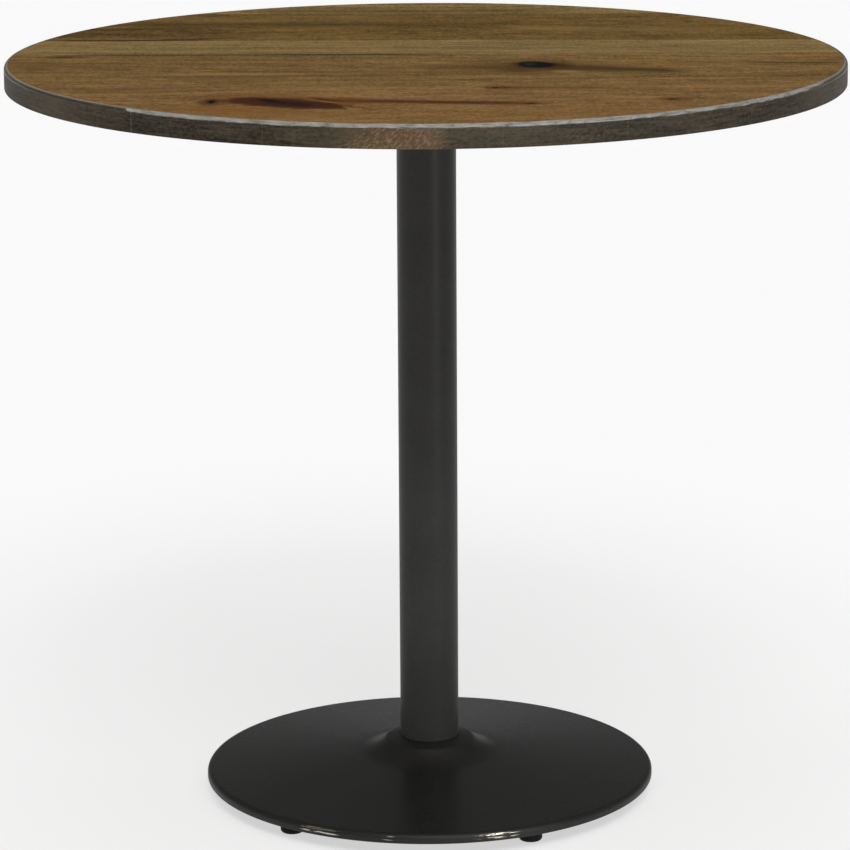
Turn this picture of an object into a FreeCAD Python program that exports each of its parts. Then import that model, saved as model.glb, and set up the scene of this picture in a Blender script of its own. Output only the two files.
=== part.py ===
import FreeCAD, Part
import os
import re

import Sketcher

# A round counter height table: six glued boards carried by a cast spider, a steel column and a domed
# cast base on levelling glides. Lengths are millimetres, angles are degrees and +Z is up.
# The boards run along X, and the origin is on the floor under the middle of the top.

SIZES = (
    # The whole table
    ("table_height", 965.2, "floor to the upper face of the top"),
    ("overrun", 10, "how far a cut runs past the material"),
    ("edge_match", 0.001, "misfit allowed when an edge is looked up by its place"),
    # The top of glued boards, with the joints counted from the back
    ("top_diameter", 1066.8, "outside of the round top"),
    ("top_thickness", 29, "thickness of the boards"),
    ("top_arris", 3.5, "bevel of the upper edge"),
    ("top_lower_arris", 1.5, "bevel of the lower edge"),
    ("joint_1", 416, "Y of the joint between boards 1 and 2"),
    ("joint_2", 155, "Y of the joint between boards 2 and 3"),
    ("joint_3", 26, "Y of the joint between boards 3 and 4"),
    ("joint_4", -245, "Y of the joint between boards 4 and 5"),
    ("joint_5", -405, "Y of the joint between boards 5 and 6"),
    # The spider under the top
    ("spider_arms", 4, "number of arms"),
    ("spider_turn", 45, "angle of the first arm from +X"),
    ("spider_reach", 270, "axis to the middle of an arm's round end"),
    ("spider_arm_root_width", 48, "width of an arm at the hub"),
    ("spider_arm_tip_width", 30, "width of an arm at its end"),
    ("spider_arm_thickness", 6, "thickness of an arm's flange"),
    ("spider_rib_thickness", 8, "thickness of the rib under an arm"),
    ("spider_rib_reach", 172, "axis to the outer end of a rib"),
    ("spider_rib_root_depth", 24, "depth of a rib at the hub"),
    ("spider_rib_tip_depth", 9, "depth of a rib at its outer end"),
    ("spider_recess_diameter", 50, "recess for the upper nut"),
    ("spider_recess_depth", 18, "depth of that recess"),
    ("spider_web", 8, "web that the nut pulls down on the column"),
    ("spider_socket_depth", 10, "socket around the column's upper end"),
    ("spider_socket_wall", 6, "wall of that socket"),
    ("spider_hub_chamfer", 2.5, "chamfer of the hub's lower edge"),
    # The wood screws
    ("screw_inner_radius", 190, "axis to the inner screws; the outer ones are at the arms' ends"),
    ("screw_diameter", 5.5, "shank"),
    ("screw_hole_diameter", 6.5, "hole in the arm"),
    ("screw_bite", 20, "length in the wood"),
    ("screw_point", 5, "length of the point"),
    ("screw_head_diameter", 11, "head"),
    ("screw_head_height", 4, "head"),
    ("pilot_clearance", 0.05, "between the shank and the wood"),
    ("pilot_depth", 22, "depth of the hole in the wood"),
    # The column
    ("column_diameter", 76.2, "outside of the tube"),
    ("column_wall", 2, "wall of the tube"),
    ("column_fit", 0.3, "radial clearance at the spigot and at the socket"),
    # The base casting, with heights counted from the underside of its rim
    ("base_diameter", 584.2, "outside of the rim"),
    ("base_wall", 8, "thickness of the dome"),
    ("rim_wall", 9, "thickness of the rim"),
    ("rim_height", 13, "height of the rim's bead"),
    ("rim_bead_width", 8, "radial width of the bead"),
    ("rim_bead_rise", 0.8, "how far the bead stands above the dome"),
    ("rim_crease_width", 1.5, "radial width of the crease inside the bead"),
    ("rim_round", 6.5, "rounding of the bead's outer edge"),
    ("rim_under_chamfer", 2, "chamfer of the rim's lower edge"),
    ("dome_height", 32.5, "height where the dome would meet the neck without its flare"),
    ("dome_inner_diameter", 150, "diameter at that place"),
    ("neck_diameter", 114, "shoulder of the neck"),
    ("neck_shoulder_height", 48.5, "height of the shoulder"),
    ("neck_height", 51.5, "height of the seat that carries the column"),
    ("neck_seat_margin", 3, "seat outside the column"),
    ("neck_round", 6, "rounding of the shoulder"),
    ("neck_flare", 35, "hollow radius between neck and dome"),
    ("spigot_height", 12, "spigot inside the column"),
    ("spigot_chamfer", 2, "chamfer of the spigot"),
    ("hub_diameter", 68, "boss under the neck"),
    ("hub_floor_height", 23, "height of the boss's lower face"),
    ("base_rib_thickness", 8, "thickness of a rib under the dome"),
    ("base_rib_height", 3, "height of a rib's lower edge"),
    ("boss_diameter", 28, "boss that holds a glide"),
    ("boss_hole_depth", 12, "depth of the tapped hole"),
    # The tie rod with its nuts and washers
    ("rod_diameter", 12.7, "rod"),
    ("rod_clearance", 0.6, "radial clearance of the holes for the rod"),
    ("rod_end", 2, "how far the rod stands out of a nut"),
    ("rod_chamfer", 1, "chamfer of the rod's ends"),
    ("nut_flats", 19.05, "across the flats"),
    ("nut_height", 11, "height"),
    ("thread_clearance", 0.05, "radial clearance between rod and nut"),
    ("washer_diameter", 38, "outside"),
    ("washer_thickness", 3, "thickness"),
    # The levelling glides
    ("glide_count", 5, "number of glides"),
    ("glide_turn", 30.6, "angle of the first glide from -Y towards +X"),
    ("glide_inset", 33.3, "rim of the base to the middle of a glide"),
    ("pad_diameter", 30, "outside of a pad"),
    ("pad_height", 13, "height of a pad"),
    ("pad_bottom_chamfer", 4, "chamfer of its lower edge"),
    ("pad_top_chamfer", 1, "chamfer of its upper edge"),
    ("pad_socket_depth", 8, "socket for the stud"),
    ("journal_diameter", 9, "end of the stud that turns in the pad"),
    ("journal_fit", 0.06, "radial clearance there"),
    ("journal_end_gap", 0.3, "gap under the journal"),
    ("collar_flats", 17, "hexagon collar, across the flats"),
    ("collar_height", 3.6, "height of the collar"),
    ("collar_gap", 0.4, "collar to boss with the glide screwed in"),
    ("stud_diameter", 10, "thread"),
    ("stud_fit", 0.06, "radial clearance of the thread in the boss"),
    ("stud_end_gap", 0.5, "stud to the end of its hole"),
    ("stud_chamfer", 1, "chamfer of the stud's upper end"),
)

ALIASES = {alias for alias, number, note in SIZES}

# Heights and radii that several pieces share
BASE_LIFT = "(pad_height + collar_height + collar_gap)"
COLUMN_FOOT = f"({BASE_LIFT} + neck_height)"
TOP_UNDERSIDE = "(table_height - top_thickness)"
COLUMN_HEAD = f"({TOP_UNDERSIDE} - spider_recess_depth - spider_web)"
ROD_SEAT_TOP = f"({TOP_UNDERSIDE} - spider_recess_depth)"
ROD_SEAT_BOTTOM = f"({BASE_LIFT} + hub_floor_height)"
ROD_HOLE_RADIUS = "(rod_diameter / 2 + rod_clearance)"
SOCKET_RADIUS = "(column_diameter / 2 + column_fit)"
HUB_RADIUS = f"({SOCKET_RADIUS} + spider_socket_wall)"
CREASE_HEIGHT = "(rim_height - rim_bead_rise)"
GLIDE_RADIUS = "(base_diameter / 2 - glide_inset)"

doc = FreeCAD.newDocument("counter_height_table")
sheet = doc.addObject("Spreadsheet::Sheet", "Sizes")


def fill_sheet():
    """Write each size on a row of its own: name, number and note."""
    for row, (alias, number, note) in enumerate(SIZES, 1):
        sheet.set(f"A{row}", alias)
        sheet.set(f"B{row}", str(number))
        sheet.set(f"C{row}", note)
        sheet.setAlias(f"B{row}", alias)
    doc.recompute()


def cell(expression):
    """Return the expression with each size's name read from the sheet."""
    def read(match):
        word = match.group(0)
        return f"Sizes.{word}" if word in ALIASES else word
    return re.sub(r"[a-z]\w*", read, expression)


def value(expression):
    """Return the present number of an expression of sizes."""
    return float(sheet.evalExpression(cell(expression)))


def new_body(label):
    body = doc.addObject("PartDesign::Body", label)
    body.Label = label
    return body


def origin_feature(body, role):
    return next(item for item in body.Origin.OriginFeatures if item.Role == role)


def place(body, across, away, up, turn="0"):
    """Bind the body's place and its turn about Z to expressions of sizes."""
    base = f"create(<<vector>>; {cell(across)}; {cell(away)}; {cell(up)})"
    rotation = f"create(<<rotation>>; create(<<vector>>; 0; 0; 1); {cell(turn)})"
    body.setExpression("Placement", f"create(<<placement>>; {base}; {rotation})")


def new_sketch(body, name, plane):
    sketch = body.newObject("Sketcher::SketchObject", name)
    sketch.AttachmentSupport = (origin_feature(body, plane), [""])
    sketch.MapMode = "FlatFace"
    return sketch


def pin(sketch, geometry, point, kind, expression):
    """Bind one coordinate of a sketch point to an expression; zero puts the point on the axis."""
    if expression == "0":
        axis = -2 if kind == "DistanceX" else -1
        sketch.addConstraint(Sketcher.Constraint("PointOnObject", geometry, point, axis))
        return
    index = sketch.addConstraint(Sketcher.Constraint(kind, geometry, point, value(expression)))
    sketch.setExpression(f"Constraints[{index}]", cell(expression))


def outline(body, name, plane, points):
    """Closed outline of straight edges through points given as pairs of expressions."""
    sketch = new_sketch(body, name, plane)
    corners = [FreeCAD.Vector(value(across), value(up), 0) for across, up in points]
    for start, end in zip(corners, corners[1:] + corners[:1]):
        sketch.addGeometry(Part.LineSegment(start, end), False)
    for index, (across, up) in enumerate(points):
        following = (index + 1) % len(points)
        sketch.addConstraint(Sketcher.Constraint("Coincident", index, 2, following, 1))
        pin(sketch, index, 1, "DistanceX", across)
        pin(sketch, index, 1, "DistanceY", up)
    return sketch


def circles(body, name, plane, centres, radius):
    """Equal circles around centres given as pairs of expressions."""
    sketch = new_sketch(body, name, plane)
    for index, (across, up) in enumerate(centres):
        centre = FreeCAD.Vector(value(across), value(up), 0)
        sketch.addGeometry(Part.Circle(centre, FreeCAD.Vector(0, 0, 1), value(radius)), False)
        pin(sketch, index, 3, "DistanceX", across)
        pin(sketch, index, 3, "DistanceY", up)
        size = sketch.addConstraint(Sketcher.Constraint("Radius", index, value(radius)))
        sketch.setExpression(f"Constraints[{size}]", cell(radius))
    return sketch


def hexagon(body, name, flats):
    """Regular hexagon in the XY plane, by its size across the flats."""
    points = [(f"{flats} / 2 / cos(30 deg) * cos({corner} * 60 deg)",
               f"{flats} / 2 / cos(30 deg) * sin({corner} * 60 deg)") for corner in range(6)]
    points[0] = (points[0][0], "0")
    points[3] = (points[3][0], "0")
    return outline(body, name, "XY_Plane", points)


def revolve(body, sketch, axis="V_Axis"):
    feature = body.newObject("PartDesign::Revolution", "turned_" + sketch.Name)
    feature.Profile = sketch
    feature.ReferenceAxis = (sketch, [axis])
    feature.Angle = 360
    doc.recompute()
    return feature


def extrude(body, sketch, length, side="One side", downwards=False):
    feature = body.newObject("PartDesign::Pad", "raised_" + sketch.Name)
    feature.Profile = sketch
    feature.setExpression("Length", cell(length))
    feature.SideType = side
    feature.Reversed = downwards
    doc.recompute()
    return feature


def cut(body, sketch, length, upwards=True):
    """Pocket of the sketch; a cut that takes nothing away is an error."""
    before = body.Shape.Volume
    feature = body.newObject("PartDesign::Pocket", "cut_" + sketch.Name)
    feature.Profile = sketch
    feature.setExpression("Length", cell(length))
    feature.Reversed = upwards
    doc.recompute()
    if body.Shape.Volume >= before:
        raise RuntimeError(f"{sketch.Name} cuts nothing")
    return feature


def soften(body, kind, radius, height, size):
    """Fillet or chamfer the circular edges of the body that have this radius at this height."""
    near = value("edge_match")
    names = []
    for index, edge in enumerate(body.Tip.Shape.Edges, 1):
        curve = edge.Curve
        if not isinstance(curve, Part.Circle):
            continue
        if abs(curve.Radius - value(radius)) < near and abs(curve.Center.z - value(height)) < near:
            names.append(f"Edge{index}")
    if not names:
        raise RuntimeError(f"no edge of {body.Label} at {radius}, {height}")
    feature = body.newObject(f"PartDesign::{kind}", "soft_edge")
    feature.Base = (feature.BaseFeature, names)
    feature.setExpression("Radius" if kind == "Fillet" else "Size", cell(size))
    doc.recompute()
    return feature


def repeat(body, features, count):
    """Repeat features evenly around the body's Z axis."""
    feature = body.newObject("PartDesign::PolarPattern", "ring_" + features[0].Name)
    feature.Originals = features
    feature.Axis = (origin_feature(body, "Z_Axis"), [""])
    feature.Angle = 360
    feature.setExpression("Occurrences", cell(count))
    body.Tip = feature
    doc.recompute()
    return feature


def screw_places():
    """Centres of the wood screws, arm by arm, as pairs of expressions."""
    places = []
    for arm in range(int(value("spider_arms"))):
        angle = f"(spider_turn + {arm} * 360 / spider_arms) * 1 deg"
        for radius in ("screw_inner_radius", "spider_reach"):
            places.append((f"{radius} * cos({angle})", f"{radius} * sin({angle})"))
    return places


def make_board(number, front, back):
    """One board of the top: a slice of the bevelled disc between two joints, with its pilot holes."""
    body = new_body(f"board_{number}")
    radius = "top_diameter / 2"
    rim = f"({radius} + overrun)"
    section = outline(body, "section", "XZ_Plane",
                      [("0", "0"), (radius, "0"), (radius, "top_thickness"), ("0", "top_thickness")])
    revolve(body, section)
    soften(body, "Chamfer", radius, "top_thickness", "top_arris")
    soften(body, "Chamfer", radius, "0", "top_lower_arris")
    beyond = []
    if back:
        beyond.append((back, rim))
    if front:
        beyond.append((f"-{rim}", front))
    for low, high in beyond:
        waste = outline(body, "waste", "XY_Plane",
                        [(f"-{rim}", low), (rim, low), (rim, high), (f"-{rim}", high)])
        cut(body, waste, "top_thickness + overrun")
    hole = "(screw_diameter / 2 + pilot_clearance)"
    low = value(front) if front else -value(rim)
    high = value(back) if back else value(rim)
    inside = [spot for spot in screw_places()
              if low - value(hole) < value(spot[1]) < high + value(hole)]
    if inside:
        cut(body, circles(body, "pilot_holes", "XY_Plane", inside, hole), "pilot_depth")
    place(body, "0", "0", TOP_UNDERSIDE)
    return body


def make_spider():
    """Hub with a socket below and a nut recess above, and arms with a rib and two screw holes each."""
    body = new_body("spider")
    web_bottom = "-spider_recess_depth - spider_web"
    hub_bottom = f"{web_bottom} - spider_socket_depth"
    recess_radius = "spider_recess_diameter / 2"
    hub = outline(body, "hub", "XZ_Plane", [
        (ROD_HOLE_RADIUS, web_bottom), (SOCKET_RADIUS, web_bottom), (SOCKET_RADIUS, hub_bottom),
        (HUB_RADIUS, hub_bottom), (HUB_RADIUS, "0"), (recess_radius, "0"),
        (recess_radius, "-spider_recess_depth"), (ROD_HOLE_RADIUS, "-spider_recess_depth")])
    revolve(body, hub)
    soften(body, "Chamfer", HUB_RADIUS, hub_bottom, "spider_hub_chamfer")
    flange = extrude(body, arm_outline(body, f"({recess_radius} + {HUB_RADIUS}) / 2"),
                     "spider_arm_thickness", downwards=True)
    root = f"{HUB_RADIUS} - spider_socket_wall / 2"
    rib_section = outline(body, "rib", "XZ_Plane", [
        (root, "0"), ("spider_rib_reach", "0"), ("spider_rib_reach", "-spider_rib_tip_depth"),
        (root, "-spider_rib_root_depth")])
    rib = extrude(body, rib_section, "spider_rib_thickness", side="Symmetric")
    holes = cut(body, circles(body, "screw_holes", "XY_Plane",
                              [("screw_inner_radius", "0"), ("spider_reach", "0")],
                              "screw_hole_diameter / 2"),
                "spider_arm_thickness + overrun", upwards=False)
    repeat(body, [flange, rib, holes], "spider_arms")
    place(body, "0", "0", TOP_UNDERSIDE, "spider_turn")
    return body


def arm_outline(body, root):
    """Tapered arm along +X with a round end."""
    sketch = new_sketch(body, "arm", "XY_Plane")
    points = [(root, "spider_arm_root_width / 2"), (root, "-spider_arm_root_width / 2"),
              ("spider_reach", "-spider_arm_tip_width / 2"), ("spider_reach", "spider_arm_tip_width / 2")]
    corners = [FreeCAD.Vector(value(across), value(up), 0) for across, up in points]
    tip = FreeCAD.Vector(value("spider_reach") + value("spider_arm_tip_width / 2"), 0, 0)
    sketch.addGeometry(Part.LineSegment(corners[0], corners[1]), False)
    sketch.addGeometry(Part.LineSegment(corners[1], corners[2]), False)
    sketch.addGeometry(Part.Arc(corners[2], tip, corners[3]), False)
    sketch.addGeometry(Part.LineSegment(corners[3], corners[0]), False)
    for index in range(4):
        sketch.addConstraint(Sketcher.Constraint("Coincident", index, 2, (index + 1) % 4, 1))
        pin(sketch, index, 1, "DistanceX", points[index][0])
        pin(sketch, index, 1, "DistanceY", points[index][1])
    pin(sketch, 2, 3, "DistanceX", "spider_reach")
    return sketch


def make_screws():
    """The wood screws as separate solids in one group: two per arm."""
    body = new_body("spider_screws")
    body.AllowCompound = True
    neck = "-spider_arm_thickness"
    bottom = f"{neck} - screw_head_height"
    turned = []
    for radius in ("screw_inner_radius", "spider_reach"):
        shank = f"{radius} + screw_diameter / 2"
        head = f"{radius} + screw_head_diameter / 2"
        section = outline(body, "screw", "XZ_Plane", [
            (radius, bottom), (head, bottom), (head, neck),
            (shank, neck), (shank, "screw_bite - screw_point"), (radius, "screw_bite")])
        turned.append(revolve(body, section, "Edge6"))
    repeat(body, turned, "spider_arms")
    place(body, "0", "0", TOP_UNDERSIDE, "spider_turn")
    return body


def make_column():
    """Plain steel tube from the neck's seat to the spider's web."""
    body = new_body("column_tube")
    outside = "column_diameter / 2"
    inside = f"{outside} - column_wall"
    length = f"{COLUMN_HEAD} - {COLUMN_FOOT}"
    revolve(body, outline(body, "wall", "XZ_Plane",
                          [(inside, "0"), (outside, "0"), (outside, length), (inside, length)]))
    place(body, "0", "0", COLUMN_FOOT)
    return body


def make_base():
    """Domed casting: hollow below, with a neck and a spigot for the column, ribs and tapped bosses."""
    body = new_body("base_casting")
    rim = "base_diameter / 2"
    rim_inside = f"{rim} - rim_wall"
    bead_inside = f"{rim} - rim_bead_width"
    dome_inside = "dome_inner_diameter / 2"
    dome_ceiling = "dome_height - base_wall"
    rim_ceiling = f"{CREASE_HEIGHT} - base_wall"
    hub = "hub_diameter / 2"
    neck = "neck_diameter / 2"
    spigot = "column_diameter / 2 - column_wall - column_fit"
    spigot_top = "neck_height + spigot_height"
    section = outline(body, "section", "XZ_Plane", [
        (ROD_HOLE_RADIUS, "hub_floor_height"), (hub, "hub_floor_height"), (hub, dome_ceiling),
        (dome_inside, dome_ceiling), (rim_inside, rim_ceiling), (rim_inside, "0"), (rim, "0"),
        (rim, "rim_height"), (bead_inside, "rim_height"),
        (f"{bead_inside} - rim_crease_width", CREASE_HEIGHT), (dome_inside, "dome_height"),
        (neck, "neck_shoulder_height"), ("column_diameter / 2 + neck_seat_margin", "neck_height"),
        (spigot, "neck_height"), (spigot, spigot_top), (ROD_HOLE_RADIUS, spigot_top)])
    revolve(body, section)
    soften(body, "Fillet", dome_inside, "dome_height", "neck_flare")
    soften(body, "Fillet", neck, "neck_shoulder_height", "neck_round")
    soften(body, "Fillet", rim, "rim_height", "rim_round")
    soften(body, "Chamfer", rim, "0", "rim_under_chamfer")
    soften(body, "Chamfer", spigot, spigot_top, "spigot_chamfer")
    boss = extrude(body, circles(body, "boss", "XY_Plane", [(GLIDE_RADIUS, "0")], "boss_diameter / 2"),
                   f"{CREASE_HEIGHT} - base_wall / 2")
    root = f"{hub} - base_wall / 2"
    rib_end = f"{rim} - rim_wall / 2"
    rib_top = "dome_height - base_wall / 2"
    rib_section = outline(body, "rib", "XZ_Plane", [
        (root, "base_rib_height"), (rib_end, "base_rib_height"),
        (rib_end, f"{CREASE_HEIGHT} - base_wall / 2"), (dome_inside, rib_top), (root, rib_top)])
    rib = extrude(body, rib_section, "base_rib_thickness", side="Symmetric")
    hole = cut(body, circles(body, "tapped_hole", "XY_Plane", [(GLIDE_RADIUS, "0")],
                             "stud_diameter / 2 + stud_fit"),
               "boss_hole_depth")
    repeat(body, [boss, rib, hole], "glide_count")
    place(body, "0", "0", BASE_LIFT, "glide_turn - 90")
    return body


def make_rod():
    """Tie rod from under the base's hub to the spider's recess."""
    body = new_body("tie_rod")
    low = f"{ROD_SEAT_BOTTOM} - washer_thickness - nut_height - rod_end"
    high = f"{ROD_SEAT_TOP} + washer_thickness + nut_height + rod_end"
    length = f"({high}) - ({low})"
    radius = "rod_diameter / 2"
    revolve(body, outline(body, "section", "XZ_Plane",
                          [("0", "0"), (radius, "0"), (radius, length), ("0", length)]))
    soften(body, "Chamfer", radius, "0", "rod_chamfer")
    soften(body, "Chamfer", radius, length, "rod_chamfer")
    place(body, "0", "0", low)
    return body


def make_washer(label, height):
    body = new_body(label)
    outside = "washer_diameter / 2"
    revolve(body, outline(body, "section", "XZ_Plane", [
        (ROD_HOLE_RADIUS, "0"), (outside, "0"), (outside, "washer_thickness"),
        (ROD_HOLE_RADIUS, "washer_thickness")]))
    place(body, "0", "0", height)
    return body


def make_nut(label, height):
    body = new_body(label)
    extrude(body, hexagon(body, "hexagon", "nut_flats"), "nut_height")
    cut(body, circles(body, "thread", "XY_Plane", [("0", "0")], "rod_diameter / 2 + thread_clearance"),
        "nut_height + overrun")
    place(body, "0", "0", height)
    return body


def glide_place(number):
    """Centre of a glide and its angle from +X, as expressions."""
    angle = f"(glide_turn + {number - 1} * 360 / glide_count)"
    across = f"{GLIDE_RADIUS} * sin({angle} * 1 deg)"
    away = f"-{GLIDE_RADIUS} * cos({angle} * 1 deg)"
    return across, away, f"{angle} - 90"


def make_pad(number):
    """Round pad with a flat sole and a socket for the stud."""
    body = new_body(f"glide_pad_{number}")
    outside = "pad_diameter / 2"
    socket = "journal_diameter / 2 + journal_fit"
    floor = "pad_height - pad_socket_depth"
    revolve(body, outline(body, "section", "XZ_Plane", [
        ("0", "0"), (outside, "0"), (outside, "pad_height"), (socket, "pad_height"),
        (socket, floor), ("0", floor)]))
    soften(body, "Chamfer", outside, "0", "pad_bottom_chamfer")
    soften(body, "Chamfer", outside, "pad_height", "pad_top_chamfer")
    across, away, turn = glide_place(number)
    place(body, across, away, "0", turn)
    return body


def make_stud(number):
    """Stud with a journal in the pad, a hexagon collar on it and a thread in the base's boss."""
    body = new_body(f"glide_stud_{number}")
    journal = "journal_diameter / 2"
    journal_end = "-pad_socket_depth + journal_end_gap"
    thread = "stud_diameter / 2"
    end = "collar_height + collar_gap + boss_hole_depth - stud_end_gap"
    revolve(body, outline(body, "section", "XZ_Plane", [
        ("0", journal_end), (journal, journal_end), (journal, "0"), (thread, "0"), (thread, end),
        ("0", end)]))
    soften(body, "Chamfer", thread, end, "stud_chamfer")
    extrude(body, hexagon(body, "collar", "collar_flats"), "collar_height")
    across, away, turn = glide_place(number)
    place(body, across, away, "pad_height", turn)
    return body


def make_all():
    """Build every piece of the table and return the bodies."""
    joints = [None] + [f"joint_{number}" for number in range(1, 6)] + [None]
    bodies = [make_board(number, joints[number], joints[number - 1]) for number in range(1, 7)]
    bodies += [make_spider(), make_screws(), make_column(), make_base(), make_rod()]
    bodies.append(make_washer("rod_washer_top", ROD_SEAT_TOP))
    bodies.append(make_nut("rod_nut_top", f"{ROD_SEAT_TOP} + washer_thickness"))
    bodies.append(make_washer("rod_washer_bottom", f"{ROD_SEAT_BOTTOM} - washer_thickness"))
    bodies.append(make_nut("rod_nut_bottom", f"{ROD_SEAT_BOTTOM} - washer_thickness - nut_height"))
    for number in range(1, int(value("glide_count")) + 1):
        bodies += [make_pad(number), make_stud(number)]
    return bodies


def write(bodies):
    """Check every object and every shape, then write one file per piece."""
    doc.recompute()
    for item in doc.Objects:
        if "Invalid" in item.State or "Error" in item.State:
            raise RuntimeError(f"{item.Label} failed: {item.State}")
    for body in bodies:
        if body.Shape.isNull() or not body.Shape.isValid() or not body.Shape.Solids:
            raise RuntimeError(f"{body.Label} has no valid shape")
    os.makedirs("parts", exist_ok=True)
    for body in bodies:
        body.Shape.exportStep(f"parts/{body.Label}.step")
        print(body.Label, len(body.Shape.Solids), round(body.Shape.Volume))


fill_sheet()
write(make_all())
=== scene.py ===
"""Looks of a round counter height table, laid out as a Blender add-on and run as a script.

Lengths are metres in the frame's own axes: +Z up, the boards along X, the front at -Y. Outlines that are
written out point by point, as (r, z) or (r, z, rounding), are in millimetres.
"""
import math
from functools import partial, partialmethod
from typing import NamedTuple

import bmesh
import bpy
import numpy as np
from mathutils import Matrix, Vector


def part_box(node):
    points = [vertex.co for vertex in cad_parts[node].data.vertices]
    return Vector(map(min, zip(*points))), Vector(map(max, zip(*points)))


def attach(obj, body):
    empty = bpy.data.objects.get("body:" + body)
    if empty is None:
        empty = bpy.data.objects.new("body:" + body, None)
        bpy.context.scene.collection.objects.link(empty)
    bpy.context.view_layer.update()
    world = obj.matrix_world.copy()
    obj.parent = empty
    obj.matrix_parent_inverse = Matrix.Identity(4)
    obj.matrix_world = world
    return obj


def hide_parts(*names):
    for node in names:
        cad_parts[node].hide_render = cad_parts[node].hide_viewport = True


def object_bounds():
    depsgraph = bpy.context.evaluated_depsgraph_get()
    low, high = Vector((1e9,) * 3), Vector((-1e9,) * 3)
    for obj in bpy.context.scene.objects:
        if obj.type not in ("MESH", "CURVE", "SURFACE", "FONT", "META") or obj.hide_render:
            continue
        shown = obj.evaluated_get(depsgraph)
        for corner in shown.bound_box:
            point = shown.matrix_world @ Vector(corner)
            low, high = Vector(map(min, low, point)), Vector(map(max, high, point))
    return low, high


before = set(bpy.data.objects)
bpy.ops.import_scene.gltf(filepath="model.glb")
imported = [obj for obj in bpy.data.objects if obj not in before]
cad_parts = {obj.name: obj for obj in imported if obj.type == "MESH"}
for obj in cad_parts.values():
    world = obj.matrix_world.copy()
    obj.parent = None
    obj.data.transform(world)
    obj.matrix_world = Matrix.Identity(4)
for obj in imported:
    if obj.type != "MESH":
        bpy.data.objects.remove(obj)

bl_info = {
    "name": "Counter Height Table",
    "version": (1, 0, 0),
    "blender": (4, 5, 0),
    "location": "View3D > Sidebar > Table",
    "description": "Dresses the frame of a round pedestal table with its wood, coated metal and hardware",
    "category": "Object",
}

CAD_BOX = [list(corner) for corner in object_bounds()]
MM = 0.001


def extent(node, axis=2):
    """Lowest and highest coordinate of a CAD node, along Z if no other axis is given."""
    low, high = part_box(node)
    return low[axis], high[axis]


def half_width(node):
    """Half of a CAD node's extent along X."""
    low, high = extent(node, 0)
    return (high - low) / 2


BOARDS = 6
GLIDES = 5
TOP_LOW, TOP_HIGH = extent("board_4")
TOP_RADIUS = min(abs(corner[axis]) for corner in CAD_BOX for axis in (0, 1))
JOINTS = [extent(f"board_{number}", 1)[0] for number in range(1, BOARDS)]
COLUMN_RADIUS = half_width("column_tube")
BASE_LOW = extent("base_casting")[0]
BASE_RADIUS = half_width("base_casting")
DOME_START = 75 * MM
ARM_TURNS = [math.radians(45 + 90 * arm) for arm in range(4)]
# Radii of the rod's holes and of the studs' journals, then the play of the rod in its nuts and of the
# studs in bosses and pads
ROD_HOLE = 6.95 * MM
JOURNAL = 4.5 * MM
ROD_PLAY = 0.07 * MM
GLIDE_PLAY = 0.06 * MM
# Points nearer than MERGE become one; shorter edges and smaller half widths than the other two don't occur
MERGE = 2e-6
LEAST_EDGE = 1e-7
LEAST_HALF = 1e-5


def tint(red, green, blue):
    """Linear colour of a display colour given in steps of 255."""
    shares = np.array([red, green, blue]) / 255
    linear = np.where(shares <= 0.04045, shares / 12.92, ((shares + 0.055) / 1.055) ** 2.4)
    return tuple(linear.tolist())


class BoardLook(NamedTuple):
    """Display colours of one board, and the log's heart and ring width that its growth rings follow."""
    light: tuple
    dark: tuple
    heart_y: float
    heart_depth: float
    heart_rise: float
    ring: float


BOARD_LOOKS = [BoardLook(*row) for row in (
    ((162, 133, 80), (88, 70, 35), 0.62, 0.05, 0.10, 0.016),
    ((134, 104, 53), (70, 52, 21), 0.27, 0.03, 0.11, 0.018),
    ((151, 126, 79), (101, 81, 43), -0.20, 0.10, 0.05, 0.022),
    ((146, 114, 66), (86, 64, 31), -0.11, 0.06, 0.06, 0.016),
    ((153, 118, 71), (96, 70, 36), -0.33, 0.04, 0.05, 0.017),
    ((151, 115, 67), (98, 70, 35), -0.70, 0.08, 0.03, 0.016),
)]


class Swing(NamedTuple):
    """A place that the grain runs round: its middle, half lengths, turn, and how far the grain gives way."""
    x: float
    y: float
    along: float
    across: float
    turn: float
    push: float


SWINGS = [Swing(*row) for row in (
    (0.139, -0.066, 0.022, 0.031, 0.0, 0.030),
    (-0.160, -0.374, 0.080, 0.036, -27.0, 0.032),
    (-0.246, -0.364, 0.010, 0.018, 0.0, 0.014),
    (0.094, -0.256, 0.012, 0.010, 20.0, 0.010),
    (0.132, -0.367, 0.008, 0.008, 0.0, 0.007),
    (0.300, -0.350, 0.010, 0.010, 0.0, 0.008),
    (-0.460, 0.012, 0.020, 0.016, 0.0, 0.008),
    (-0.350, 0.230, 0.090, 0.030, 12.0, 0.022),
)]


class Stain(NamedTuple):
    """An oval of colour: middle, half lengths, turn, display colour, strength, softness and raggedness."""
    x: float
    y: float
    along: float
    across: float
    turn: float
    colour: tuple
    strength: float
    fade: float
    ragged: float


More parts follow.
